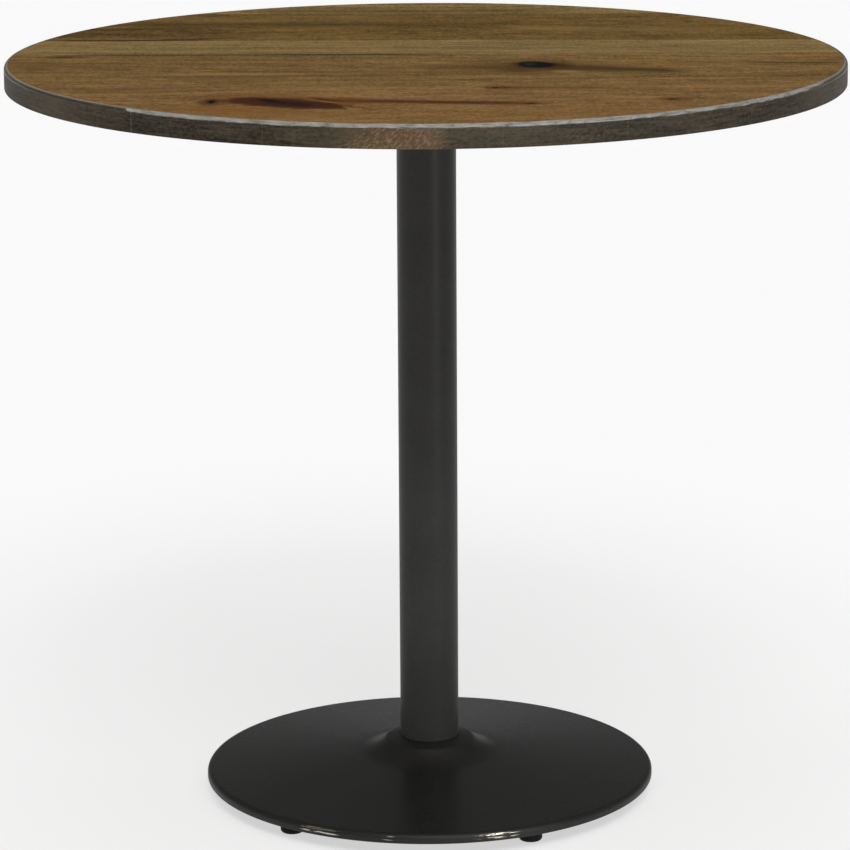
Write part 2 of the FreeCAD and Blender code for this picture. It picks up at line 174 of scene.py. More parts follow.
STAINS = [Stain(*row) for row in (
    # the large knot and the wood round it
    (-0.165, -0.355, 0.125, 0.066, -12, (108, 60, 20), 0.70, 0.95, 0.5),
    (-0.205, -0.432, 0.130, 0.042, -15, (122, 76, 28), 0.55, 0.95, 0.6),
    (-0.204, -0.355, 0.034, 0.032, -8, (66, 34, 8), 0.95, 0.45, 0.5),
    (-0.158, -0.374, 0.084, 0.038, -27, (64, 31, 9), 0.97, 0.35, 0.5),
    (-0.152, -0.377, 0.048, 0.024, -27, (26, 11, 3), 0.85, 0.85, 0.6),
    (-0.178, -0.354, 0.024, 0.009, -37, (4, 2, 1), 1.00, 0.60, 0.3),
    (-0.101, -0.398, 0.032, 0.022, -40, (60, 28, 8), 0.85, 0.60, 0.6),
    (-0.114, -0.345, 0.026, 0.008, -36, (62, 29, 6), 0.90, 0.80, 0.4),
    (-0.108, -0.366, 0.024, 0.003, -28, (156, 112, 58), 0.80, 0.80, 0.3),
    (-0.078, -0.420, 0.034, 0.005, -68, (150, 108, 56), 0.55, 0.80, 0.4),
    (-0.062, -0.415, 0.024, 0.006, -50, (78, 44, 15), 0.60, 0.80, 0.5),
    # its small neighbour
    (-0.246, -0.364, 0.022, 0.034, 0, (66, 34, 9), 0.85, 0.75, 0.8),
    (-0.246, -0.362, 0.006, 0.017, 0, (8, 4, 2), 0.97, 0.60, 0.5),
    # the filled knot hole
    (0.140, -0.085, 0.125, 0.064, -8, (76, 53, 20), 0.80, 0.95, 0.9),
    (0.143, -0.069, 0.046, 0.046, 0, (52, 24, 5), 0.92, 0.75, 0.6),
    (0.118, -0.118, 0.026, 0.020, -20, (70, 48, 17), 0.60, 0.85, 0.6),
    (0.178, -0.126, 0.024, 0.016, -10, (150, 120, 72), 0.65, 0.85, 0.6),
    (0.140, -0.066, 0.024, 0.029, 20, (4, 2, 1), 1.00, 0.25, 0.4),
    (0.132, -0.062, 0.009, 0.014, 10, (38, 39, 34), 0.75, 0.70, 0.3),
    # pin knots
    (0.094, -0.256, 0.026, 0.015, 0, (80, 42, 12), 0.80, 0.85, 0.7),
    (0.090, -0.256, 0.006, 0.006, 0, (34, 16, 5), 0.90, 0.60, 0.3),
    (0.132, -0.378, 0.018, 0.014, 0, (78, 40, 12), 0.70, 0.85, 0.6),
    (0.132, -0.378, 0.005, 0.006, 0, (34, 15, 5), 0.90, 0.60, 0.3),
    (0.302, -0.350, 0.024, 0.018, -8, (80, 42, 13), 0.70, 0.85, 0.8),
    (0.298, -0.350, 0.005, 0.007, 0, (36, 17, 6), 0.90, 0.60, 0.3),
    # smears and arcs
    (-0.460, 0.008, 0.034, 0.014, 0, (56, 36, 13), 0.92, 0.90, 1.2),
    (-0.440, -0.075, 0.040, 0.010, -12, (78, 54, 24), 0.50, 0.90, 1.0),
    (-0.348, -0.180, 0.052, 0.008, -30, (82, 58, 26), 0.45, 0.90, 0.8),
    (-0.490, -0.060, 0.060, 0.045, 0, (100, 74, 38), 0.50, 0.95, 0.9),
)]


class Streak(NamedTuple):
    """A streak along the grain between two points, with its half width, display colour and strength."""
    x: float
    y: float
    end_x: float
    end_y: float
    half: float
    colour: tuple
    strength: float


STREAKS = [Streak(*row) for row in (
    (-0.480, 0.0258, 0.060, 0.0258, 0.0050, (26, 23, 15), 0.95),
    (-0.500, 0.1620, -0.250, 0.1660, 0.0060, (30, 19, 6), 0.95),
    (-0.360, 0.1700, -0.230, 0.1900, 0.0060, (44, 30, 10), 0.70),
    (-0.140, -0.362, 0.175, -0.380, 0.0150, (70, 33, 8), 0.97),
    (0.150, -0.080, 0.345, -0.132, 0.0230, (62, 43, 14), 0.90),
    (-0.020, -0.075, 0.120, -0.090, 0.0120, (86, 60, 24), 0.55),
    (0.085, -0.256, 0.250, -0.259, 0.0110, (96, 56, 20), 0.65),
    (0.395, -0.050, 0.530, -0.058, 0.0060, (62, 44, 16), 0.75),
    (-0.250, -0.122, 0.060, -0.125, 0.0055, (76, 54, 22), 0.65),
    (-0.540, 0.205, -0.220, 0.232, 0.0240, (56, 39, 12), 0.45),
    (-0.520, 0.250, -0.260, 0.272, 0.0120, (54, 38, 12), 0.55),
    (-0.450, 0.300, 0.180, 0.304, 0.0280, (66, 47, 16), 0.60),
    (-0.280, 0.440, 0.220, 0.442, 0.0220, (54, 42, 18), 0.55),
    (-0.330, -0.170, -0.140, -0.165, 0.0160, (80, 59, 26), 0.45),
    (-0.330, -0.143, -0.130, -0.140, 0.0120, (152, 120, 74), 0.55),
    (0.080, 0.262, 0.420, 0.250, 0.0280, (142, 112, 62), 0.40),
)]


# Properties that a user would change


def amount(name, description, default, **kind):
    """Property that holds a number, with its unit or subtype."""
    return bpy.props.FloatProperty(name=name, description=description, default=default, **kind)


def colour(name, description, default):
    """Property that holds a linear colour."""
    return bpy.props.FloatVectorProperty(name=name, description=description, default=default, size=3,
                                         subtype="COLOR", min=0, max=1)


length = partial(amount, unit="LENGTH", precision=5)
share = partial(amount, subtype="FACTOR", min=0, max=1)
tilt = partial(amount, subtype="ANGLE")


class TopSettings(bpy.types.PropertyGroup):
    """Sizes and finish of the wood top."""
    arris: length("Arris", "Rounding of the upper edge", 4.6 * MM)
    lower_arris: length("Lower arris", "Rounding of the lower edge", 1.5 * MM)
    seam: length("Seam", "Bevel along the glued joints", 0.08 * MM)
    edge_dark: colour("Edge stain", "Dark stain of the edge", tint(28, 25, 19))
    edge_light: colour("Edge grain", "Lighter grain of the edge", tint(85, 75, 59))
    edge_rubbed: colour("Rubbed edge", "Wood that shows where the stain is rubbed off", tint(142, 112, 80))
    # The worn arris colour is partly pale wear and partly a painted highlight
    arris_wear_and_highlight: colour("Worn arris", "Pale wear along the upper edge", tint(172, 171, 166))
    roughness: share("Roughness", "Roughness of the satin lacquer", 0.55)


class MetalSettings(bpy.types.PropertyGroup):
    """Sizes of the column and base, and the finish of all coated metal."""
    column_wall: length("Column wall", "Thickness of the column's wall", 2 * MM)
    neck_radius: length("Neck", "Radius of the neck's shoulder", 57 * MM)
    flare: length("Flare", "Hollow radius between neck and dome", 54 * MM)
    rim_round: length("Rim", "Rounding of the rim", 7.0 * MM)
    coat: colour("Coat", "Charcoal powder coat", tint(28.5, 28.7, 27))
    # The column's coat is the base's charcoal coat painted lighter: a lit copy of the same coat, standing in
    # for the light on the column
    lit_column_coat: colour("Column coat", "Charcoal coat of the column", tint(57, 57, 55.5))
    bare: colour("Bare metal", "Metal that shows where the rim is worn", tint(214, 208, 190))
    roughness: share("Roughness", "Roughness of the base's coat", 0.27)
    column_roughness: share("Column roughness", "Roughness of the column's coat", 0.40)
    spider_roughness: share("Spider roughness", "Roughness of the spider's coat", 0.39)


class SpiderSettings(bpy.types.PropertyGroup):
    """Sizes of the spider's arms and the places of its screws."""
    root: length("Root", "Start of an arm, from the axis", 35 * MM)
    reach: length("Reach", "Middle of an arm's round tip and its outer screw, from the axis", 270 * MM)
    inner_screw: length("Inner screw", "Inner screw of an arm, from the axis", 190 * MM)
    root_half: length("Root width", "Half width of an arm at its root", 24 * MM)
    tip_half: length("Tip width", "Half width of an arm at its tip", 15 * MM)
    plate: length("Plate", "Thickness of an arm", 6 * MM)
    rib_root: length("Rib at the hub", "Depth of a rib at the hub", 24 * MM)
    rib_tip: length("Rib at its end", "Depth of a rib at its outer end", 9 * MM)


class HardwareSettings(bpy.types.PropertyGroup):
    """Sizes and finish of the glides and the rod."""
    stud_radius: length("Stud", "Radius of the glide studs", 5 * MM)
    stud_pitch: length("Stud pitch", "Pitch of the glide studs", 1.5 * MM)
    collar_flats: length("Collar", "Width of the glide collars across flats", 17 * MM)
    rod_radius: length("Rod", "Radius of the tie rod", 6.35 * MM)
    rod_pitch: length("Rod pitch", "Pitch of the tie rod", 1.95 * MM)
    rod_cut: length("Rod thread", "Length of the thread at each end of the tie rod", 30 * MM)
    nut_flats: length("Nut", "Width of the rod nuts across flats", 19.05 * MM)
    washer_radius: length("Washer", "Radius of the rod washers", 19 * MM)
    zinc: colour("Zinc", "Zinc plate", tint(188, 188, 182))
    nylon: colour("Nylon", "Black nylon", tint(10, 10, 10))


class StageSettings(bpy.types.PropertyGroup):
    """Camera, light and floor."""
    distance: length("Distance", "Camera to the table's axis, along the floor", 5.0770)
    height: length("Height", "Camera above the floor", 1.7003)
    side_turn: tilt("Turn", "Camera's turn about the table", 0.0214717)
    aim: tilt("Aim", "How far the camera looks to the left of the axis", 0.00057)
    pitch: tilt("Pitch", "Camera's downward tilt", 0.2096)
    roll: tilt("Roll", "Camera's roll", -0.00572)
    lens: amount("Lens", "Focal length on a 36 mm sensor", 170.76, unit="CAMERA")
    shift: amount("Shift", "Upward shift of the picture", -0.12)
    floor_colour: colour("Floor", "Pale floor", (0.93, 0.93, 0.93))
    wall_level: share("Wall", "Level of the room's light behind the table", 0.225)
    room_level: share("Room", "Level of the room's light elsewhere", 0.118)
    floor_glow: share("Floor glow", "Share of the floor that shows as plain white", 0.60)
    panel: amount("Panel", "Strength of the wide panel above", 1.9)
    key: amount("Key", "Strength of the lamp in front", 0.9)
    strip: amount("Strip", "Power of the upright strip lamp", 46.0, unit="POWER")


# Surfaces


def full_turn(columns):
    """Evenly spaced angles round a full turn, without its end."""
    return np.linspace(0, 2 * math.pi, columns, endpoint=False)


def stacked(*parts):
    """Points from their coordinates, each spread over the grid that all of them span."""
    return np.stack(np.broadcast_arrays(*parts), axis=-1)


def around(radius, angle, height, middle=(0, 0)):
    """Points at a radius, an angle and a height about a vertical axis."""
    return stacked(middle[0] + radius * np.cos(angle), middle[1] + radius * np.sin(angle), height)


def turned(profile, columns=96, middle=(0, 0)):
    """Surface of revolution: each point (r, z) of the profile carried round a vertical axis."""
    profile = np.asarray(profile, float)
    return around(profile[:, :1], full_turn(columns), profile[:, 1:], middle)


def turned_about(points, angle):
    """Points turned about the table's axis."""
    along = (math.cos(angle), math.sin(angle), 0)
    across = (-math.sin(angle), math.cos(angle), 0)
    return points @ np.array([along, across, (0, 0, 1)])


def unit(vector):
    """Vector of length one that points the same way."""
    return vector / np.linalg.norm(vector)


def rounded(outline, low=0.0, steps=7):
    """Closed section (r, z) through an outline's corners, each replaced by an arc of its own radius.

    A corner is (r, z above low, radius). The arc's middle lies on the corner's bisector, at radius / sin(half
    the inner angle) from the corner, so that the arc touches both sides.
    """
    outline = np.asarray(outline, float)
    corners = outline[:, :2] + np.array([0, low])
    neighbours = zip(np.roll(corners, 1, 0), corners, np.roll(corners, -1, 0), outline[:, 2])
    pieces = []
    for before, corner, after, radius in neighbours:
        if radius == 0:
            pieces.append(corner[None])
            continue
        to_before, to_after = unit(before - corner), unit(after - corner)
        bisector, across = unit(to_before + to_after), unit(to_after - to_before)
        half = math.acos(to_before @ to_after) / 2
        middle = corner + bisector * radius / math.sin(half)
        sweep = np.linspace(half - math.pi / 2, math.pi / 2 - half, steps)[:, None]
        pieces.append(middle + radius * (np.sin(sweep) * across - np.cos(sweep) * bisector))
    return np.concatenate(pieces)


def sleeve_outline(inner, outer, low, high, inner_round, outer_round):
    """Outline of a sleeve or washer: a rectangle with its own rounding inside and outside."""
    return [(inner, low, inner_round), (outer, low, outer_round), (outer, high, outer_round),
            (inner, high, inner_round)]


def capped(sections):
    """Closed sweep: a row of loops, with each end loop drawn together to its middle."""
    ends = sections[[0, -1]].mean(axis=1, keepdims=True) + np.zeros_like(sections[:1])
    return np.concatenate([ends[:1], sections, ends[1:]])


def rib(station, ceiling, spring, half, foot_half, foot_depth):
    """Rib carried outwards: at each station a loop of two upper corners and a rounded foot.

    The corners stand at the ceiling, a half width to each side. The foot is a half oval under a spring line.
    """
    foot = np.linspace(0, math.pi, 9)
    across = np.append([-half, half], foot_half * np.cos(foot))
    ceiling, spring = (np.broadcast_to(level, station.shape)[:, None] for level in (ceiling, spring))
    height = np.concatenate([ceiling, ceiling, spring - foot_depth * np.sin(foot)], axis=1)
    return capped(stacked(station[:, None], across, height))


def hexagon_radius(angle, flats):
    """Distance from the middle to the side of a hexagon at an angle."""
    turn = np.mod(angle + math.pi / 6, math.pi / 3) - math.pi / 6
    return flats / 2 / np.cos(turn)


def hexagon_block(flats, low, high, hole, columns=72):
    """Hexagonal block with a round hole and turned chamfers at both ends.

    The wall follows the hexagon, but stays inside a cone that leaves each end just within the inscribed
    circle and widens by the height over a slope. The hole's mouths are chamfered too.
    """
    slope, start_share, end_share, mouth_share = 0.30, 0.985, 0.12, 0.06
    near_end = np.linspace(0, end_share, 7)
    between = np.linspace(end_share, 1 - end_share, 4)[1:-1]
    height = low + (high - low) * np.concatenate([near_end, between, 1 - near_end[::-1]])[:, None]
    cone = flats / 2 * start_share + np.minimum(height - low, high - height) / slope
    angle = full_turn(columns)
    wall = around(np.minimum(hexagon_radius(angle, flats), cone), angle, height)
    mouth = hole * mouth_share
    wide = hole + mouth
    bore = turned([(wide, high), (hole, high - mouth), (hole, low + mouth), (wide, low)], columns)
    return np.concatenate([bore[-1:], wall, bore])


def threaded(radius, depth, pitch, low, high, columns=32, cut=math.inf):
    """Rod with a screw thread: the radius falls by a flattened saw of (height / pitch - angle / full turn).

    The thread reaches as far from each end as cut says. Its depth fades over a run-out there and at the two
    ends, which are bevelled.
    """
    rows_per_turn, flat, run_out, end_bevel = 8, 0.125, 1 * MM, 0.8
    height = np.linspace(low, high, int((high - low) / pitch * rows_per_turn) + 1)
    height = height[np.minimum(height - low, high - height) <= cut][:, None]
    from_end = np.minimum(height - low, high - height)
    angle = full_turn(columns)
    phase = np.mod(height / pitch - angle / (2 * math.pi), 1)
    saw = np.clip((1 + 2 * flat) * np.abs(2 * phase - 1) - flat, 0, 1)
    fade = np.clip(np.minimum(from_end, cut - from_end) / run_out, 0, 1)
    bevel = np.clip(1 - from_end / depth, 0, 1)
    return capped(around(radius - depth * (saw * fade + end_bevel * bevel), angle, height))


class Shell(NamedTuple):
    """A grid of points, whether its columns and rows close on themselves, and its material's number."""
    points: np.ndarray
    round_columns: bool = True
    round_rows: bool = False
    material: int = 0


def turned_ring(profile, columns=96, middle=(0, 0)):
    """Closed ring: a closed section carried round a vertical axis."""
    return Shell(turned(profile, columns, middle), round_rows=True)


def grid_faces(rows, columns, round_rows, round_columns):
    """Corner numbers of the quads of a grid, whose first row and column come again where it closes."""
    number = np.arange(rows * columns).reshape(rows, columns)
    number = np.pad(number, ((0, int(round_rows)), (0, int(round_columns))), mode="wrap")
    corners = [number[:-1, :-1], number[:-1, 1:], number[1:, 1:], number[1:, :-1]]
    return np.stack(corners, axis=-1).reshape(-1, 4)


def merged_mesh(name, shells, materials):
    """One mesh of a row of shells, with merged seams and poles and faces outwards."""
    points, faces, numbers, start = [], [], [], 0
    for shell in shells:
        rows, columns = shell.points.shape[:2]
        quads = grid_faces(rows, columns, shell.round_rows, shell.round_columns)
        points.append(shell.points.reshape(-1, 3))
        faces.append(quads + start)
        numbers.append(np.full(len(quads), shell.material, dtype=np.int32))
        start += rows * columns
    mesh = bpy.data.meshes.new(name)
    mesh.from_pydata(np.concatenate(points).tolist(), [], np.concatenate(faces).tolist())
    for material in materials:
        mesh.materials.append(material)
    mesh.polygons.foreach_set("material_index", np.concatenate(numbers))
    work = bmesh.new()
    work.from_mesh(mesh)
    bmesh.ops.remove_doubles(work, verts=work.verts, dist=MERGE)
    bmesh.ops.dissolve_degenerate(work, edges=work.edges, dist=LEAST_EDGE)
    bmesh.ops.recalc_face_normals(work, faces=work.faces)
    work.to_mesh(mesh)
    work.free()
    return mesh


def added(name, data):
    """New object in the scene."""
    thing = bpy.data.objects.new(name, data)
    bpy.context.scene.collection.objects.link(thing)
    return thing


def add_piece(name, node, shells, materials, body="table", sharp=32):
    """One smooth, closed object made of shells, which replaces a CAD node and rides on its body."""
    mesh = merged_mesh(name, shells, materials)
    mesh.polygons.foreach_set("use_smooth", np.ones(len(mesh.polygons), dtype=bool))
    mesh.set_sharp_from_angle(angle=math.radians(sharp))
    piece = added(name, mesh)
    piece.modifiers.new("even_normals", "WEIGHTED_NORMAL").keep_sharp = True
    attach(piece, body)
    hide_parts(node)


# Shader nodes


class Field:
    """A number that varies over a surface; sums and products of fields become Math nodes."""

    def __init__(self, graph, socket):
        self.graph = graph
        self.socket = socket

    def operate(self, operation, *others):
        """Math node of this field and others."""
        return self.graph.math(operation, self, *others)

    def __rsub__(self, other):
        return self.graph.math("SUBTRACT", other, self)

    __add__ = __radd__ = partialmethod(operate, "ADD")
    __sub__ = partialmethod(operate, "SUBTRACT")
    __mul__ = __rmul__ = partialmethod(operate, "MULTIPLY")
    __truediv__ = partialmethod(operate, "DIVIDE")
    __neg__ = partialmethod(operate, "MULTIPLY", -1.0)
    __abs__ = partialmethod(operate, "ABSOLUTE")

    def hypot(self, other):
        """Root of the sum of two squares."""
        return self.graph.math("SQRT", self * self + other * other)

    def bell(self, half):
        """exp(-(value / half) squared)."""
        reach = self / half
        return self.graph.math("EXPONENT", -(reach * reach))

    def step(self, low, high):
        """Smooth step from 0 at low to 1 at high."""
        node = self.graph.node("ShaderNodeMapRange", interpolation_type="SMOOTHSTEP")
        for socket, value in zip(node.inputs, (self, low, high, 0.0, 1.0)):
            self.graph.feed(socket, value)
        return Field(self.graph, node.outputs["Result"])

    def fall(self, low, high):
        """Smooth step from 1 at low to 0 at high."""
        return 1.0 - self.step(low, high)

    def hump(self, start, full, wane, end):
        """Smooth step up from start to full, and down again from wane to end."""
        return self.step(start, full) * self.fall(wane, end)


class Graph:
    """Node tree of a material or of the world, with X, Y and Z of its coordinates as fields."""

    def __init__(self, owner, shader="Principled BSDF", coordinates="Object"):
        owner.use_nodes = True
        self.owner = owner
        self.tree = owner.node_tree
        self.shader = self.tree.nodes[shader]
        split = self.node("ShaderNodeSeparateXYZ")
        self.feed(split.inputs[0], self.node("ShaderNodeTexCoord").outputs[coordinates])
        self.x, self.y, self.z = (Field(self, output) for output in split.outputs)

    def node(self, kind, **settings):
        """New node with its settings."""
        node = self.tree.nodes.new(kind)
        for name, value in settings.items():
            setattr(node, name, value)
        return node

    def feed(self, socket, value):
        """Wire a field or a socket to a socket, or set its constant."""
        if isinstance(value, Field):
            self.tree.links.new(value.socket, socket)
        elif isinstance(value, bpy.types.NodeSocket):
            self.tree.links.new(value, socket)
        elif isinstance(value, tuple) and socket.type == "RGBA":
            socket.default_value = (*value, 1.0)
        else:
            socket.default_value = value

    def set(self, name, value):
        """Feed an input of the shader by its name."""
        self.feed(self.shader.inputs[name], value)

    def math(self, operation, *values):
        """Math node of fields and numbers."""
        node = self.node("ShaderNodeMath", operation=operation)
        for socket, value in zip(node.inputs, values):
            self.feed(socket, value)
        return Field(self, node.outputs["Value"])

    def front_angle(self):
        """Angle about the table's axis: nothing in front, and growing to the right."""
        return self.math("ARCTAN2", self.x, -self.y)

    def texture(self, dimensions, **values):
        """Noise between about 0 and 1, with one cell to the unit."""
        node = self.node("ShaderNodeTexNoise", noise_dimensions=dimensions)
        for name, value in {"Scale": 1.0, **values}.items():
            self.feed(node.inputs[name], value)
        return Field(self, node.outputs["Fac"])

    def noise(self, place, detail=2.0, roughness=0.5):
        """Noise at a place of three numbers."""
        vector = self.node("ShaderNodeCombineXYZ")
        for socket, value in zip(vector.inputs, place):
            self.feed(socket, value)
        return self.texture("3D", Vector=vector.outputs[0], Detail=detail, Roughness=roughness)

    def noise_line(self, along, detail=2.0, roughness=0.5):
        """Noise along one number."""
        return self.texture("1D", W=along, Detail=detail, Roughness=roughness)

    def even_noise(self, scale, detail=2.0):
        """Noise with round cells, scale of them to the metre."""
        return self.noise([part * scale for part in (self.x, self.y, self.z)], detail)

    def mix(self, factor, low, high):
        """Colour between low and high."""
        node = self.node("ShaderNodeMix", data_type="RGBA")
        self.feed(node.inputs["Factor"], factor)
        self.feed(node.inputs[6], low)
        self.feed(node.inputs[7], high)
        return node.outputs[2]

    def blend(self, factor, low, high):
        """Shader between two shaders."""
        node = self.node("ShaderNodeMixShader")
        for socket, value in zip(node.inputs, (factor, low.outputs[0], high.outputs[0])):
            self.feed(socket, value)
        return node

    def bump(self, height, distance):
        """Bend the shader's normal by a height field, whose unit is distance in metres."""
        node = self.node("ShaderNodeBump")
        self.feed(node.inputs["Distance"], distance)
        self.feed(node.inputs["Height"], height)
        self.set("Normal", node.outputs["Normal"])


def paint(name):
    """Node tree of a new material."""
    return Graph(bpy.data.materials.new(name))


def uneven(middle, *shares):
    """A middle value plus noises, each taken from its own middle of one half and times its weight."""
    return sum((noise - 0.5) * weight for noise, weight in shares) + middle


def shade(tone, factor):
    """A colour made lighter or darker, no lighter than white."""
    return tuple(min(1.0, factor * part) for part in tone)


# Wood


class Noise(NamedTuple):
    """Noise on a board: cells to the metre along and across it, its seed, and how it looks and counts."""
    along: float
    across: float
    seed: float
    detail: float
    roughness: float
    weight: float


WANDER = Noise(2.2, 5.0, 0.0, 3.0, 0.50, 0.030)
RIPPLE = Noise(9.0, 14.0, 5.0, 2.0, 0.50, 0.010)
CLOUD = Noise(3.0, 8.0, 3.0, 3.0, 0.50, 0.7)
FLECKS = Noise(26.0, 84.0, 6.0, 4.0, 0.75, 1.5)
BANDS = Noise(7.0, 62.0, 4.0, 4.0, 0.65, 1.1)
FIBRES = Noise(16.0, 330.0, 0.0, 4.0, 0.62, 0.6)
GRIT = Noise(210.0, 150.0, 7.0, 3.0, 0.80, 2.4)
PORES = Noise(60.0, 520.0, 1.0, 2.0, 0.50, 0.4)
LINES = Noise(13.0, 118.0, 8.0, 4.0, 0.70, 0.4)
RAGGED = Noise(26.0, 95.0, 2.0, 4.0, 0.65, 1.0)
RING_WEIGHT = 0.9
SEED_STEP = 7.3
# How far a streak follows the bent grain
STREAK_BEND = 0.35


def board_noise(graph, kind, across, seed):
    """One kind of noise on a board, read at X along it and at a given number across it."""
    place = (graph.x * kind.along, across * kind.across, seed + kind.seed)
    return graph.noise(place, kind.detail, kind.roughness)


def oval_offsets(graph, oval):
    """Offsets along and across a turned oval, from its middle and in half lengths."""
    turn = math.radians(oval.turn)
    x, y = graph.x - oval.x, graph.y - oval.y
    along = (x * math.cos(turn) + y * math.sin(turn)) / oval.along
    across = (y * math.cos(turn) - x * math.sin(turn)) / oval.across
    return along, across


def touches(front, back, y, reach):
    """Whether something of a half width at y shows between two joints."""
    return front - reach < y < back + reach


def bent_grain(graph, front, back, seed):
    """Y with a slow wander and a ripple, pushed outwards by each knot that is near the board."""
    waves = [(board_noise(graph, kind, graph.y, seed), kind.weight) for kind in (WANDER, RIPPLE)]
    grain = uneven(graph.y, *waves)
    for swing in SWINGS:
        if touches(front, back, swing.y, 4 * swing.push):
            along, across = oval_offsets(graph, swing)
            grain = grain - across * along.hypot(across).bell(2.0) * swing.push
    return grain


def add_streaks(graph, wood, grain, flecks, front, back):
    """Streaks over the wood: bells across a slanting line, which fade at its ends and break up in flecks."""
    followed = grain * STREAK_BEND + graph.y * (1 - STREAK_BEND)
    broken = flecks.step(0.25, 0.50) * 0.5 + 0.5
    for streak in STREAKS:
        if touches(front, back, streak.y, 3 * streak.half):
            run = (graph.x - streak.x) / (streak.end_x - streak.x)
            middle = run * (streak.end_y - streak.y) + streak.y
            near = (followed - middle).bell(streak.half) * run.hump(0.0, 0.15, 0.75, 1.0)
            wood = graph.mix(near * broken * streak.strength, wood, tint(*streak.colour))
    return wood


def add_stains(graph, wood, ragged, front, back):
    """Knots and smears over the wood: ovals of colour with a ragged edge that fades."""
    for stain in STAINS:
        if touches(front, back, stain.y, 1.5 * max(stain.along, stain.across)):
            along, across = oval_offsets(graph, stain)
            reach = along.hypot(across) + ragged * stain.ragged
            cover = reach.fall(1 - stain.fade, 1 + 0.3 * stain.fade)
            wood = graph.mix(cover * stain.strength, wood, tint(*stain.colour))
    return wood


def board_wood(number, front, back, settings):
    """Stained wood of one board.

    The growth rings are noise along the distance from a slanted heart line, and the fibres, pores and
    flecks are noise drawn out along the board. All of them bend round the knots, because they read a Y that
    each knot pushes outwards. Streaks, and knots as ragged ovals of colour, are laid over them.
    """
    look = BOARD_LOOKS[number - 1]
    light, dark = tint(*look.light), tint(*look.dark)
    graph = paint(f"board_{number}_wood")
    seed = number * SEED_STEP
    grain = bent_grain(graph, front, back, seed)
    drawn = {kind: board_noise(graph, kind, grain, seed) for kind in (FLECKS, BANDS, FIBRES, GRIT)}
    drawn[CLOUD] = board_noise(graph, CLOUD, graph.y, seed)
    rings = (grain - look.heart_y).hypot(graph.x * look.heart_rise + look.heart_depth)
    ring_tone = graph.noise_line(rings / look.ring + seed, detail=4.0, roughness=0.62)
    shares = [(noise, kind.weight) for kind, noise in drawn.items()]
    wood = graph.mix(uneven(0.5, (ring_tone, RING_WEIGHT), *shares), dark, light)
    pores = board_noise(graph, PORES, grain, seed).step(0.57, 0.68)
    lines = board_noise(graph, LINES, grain, seed).step(0.56, 0.66)
    wood = graph.mix(pores * PORES.weight + lines * LINES.weight, wood, shade(dark, 0.5))
    wood = add_streaks(graph, wood, grain, drawn[FLECKS], front, back)
    ragged = (board_noise(graph, RAGGED, grain, seed) - 0.5) * RAGGED.weight
    graph.set("Base Color", add_stains(graph, wood, ragged, front, back))
    graph.set("Roughness", uneven(settings.roughness, (drawn[FIBRES], 0.16)) + pores * 0.12)
    graph.set("Specular IOR Level", 0.05)
    graph.bump(drawn[FIBRES] * 0.5 - pores * 0.8, 0.12 * MM)
    return graph.owner


# Degrees from the front, and how strongly a seam shows or how far the stain is lighter or darker there.
# The half width of such a tone is in radians
EDGE_SEAMS = {-39.2: 0.38, -19.5: 0.22, 10.7: 0.18, 27.1: 0.30, 47.4: 0.28}
EDGE_TONES = {-52.0: 0.30, -28.0: -0.18, 8.0: 0.30, 20.0: -0.24, 45.0: 0.10}
EDGE_TONE_HALF = 0.16


def edge_wood(settings):
    """Stained and rubbed edge of the top.

    Fine streaks run along the rim, over broader patches. In front the stain is rubbed through in slanting
    flecks, and upright seams of the edging show as pale lines.
    """
    graph = paint("stained_edge")
    angle, z = graph.front_angle(), graph.z
    run = angle * TOP_RADIUS
    dark, light, bare = settings.edge_dark[:], settings.edge_light[:], settings.edge_rubbed[:]
    long_grain = graph.noise((run * 24.0, z * 320.0, 1.0), detail=5.0, roughness=0.70)
    mottle = graph.noise((run * 150.0, z * 280.0, 4.0), detail=4.0, roughness=0.70)
    patch = graph.noise((run * 8.0, z * 30.0, 2.0), detail=3.0)
    tone = uneven(0.5, (long_grain, 1.7), (mottle, 1.9), (patch, 1.3))
    for middle, lift in EDGE_TONES.items():
        tone = tone + (angle - math.radians(middle)).bell(EDGE_TONE_HALF) * lift
    rubbed = angle.hump(-0.19, -0.05, 0.03, 0.08)
    wood = graph.mix(rubbed * 0.26, graph.mix(tone, dark, light), bare)
    slant, rise = run * 0.8 + z * 0.6, z * 0.8 - run * 0.6
    flecks = graph.noise((slant * 150.0, rise * 430.0, 6.0), detail=3.0, roughness=0.6).step(0.46, 0.62)
    spots = graph.noise((run * 6.0, z * 30.0, 8.0), detail=3.0).step(0.56, 0.72) * 0.5
    wood = graph.mix(flecks * (rubbed + spots) * 0.7, wood, bare)
    for seam, strength in EDGE_SEAMS.items():
        line = abs(angle - math.radians(seam)).fall(0.0006, 0.0018)
        wood = graph.mix(line * mottle.step(0.25, 0.60) * strength, wood, bare)
    graph.set("Base Color", wood)
    graph.set("Roughness", uneven(0.58, (mottle, 0.2)))
    graph.set("Specular IOR Level", 0.15)
    graph.bump(long_grain + mottle, 0.16 * MM)
    return graph.owner


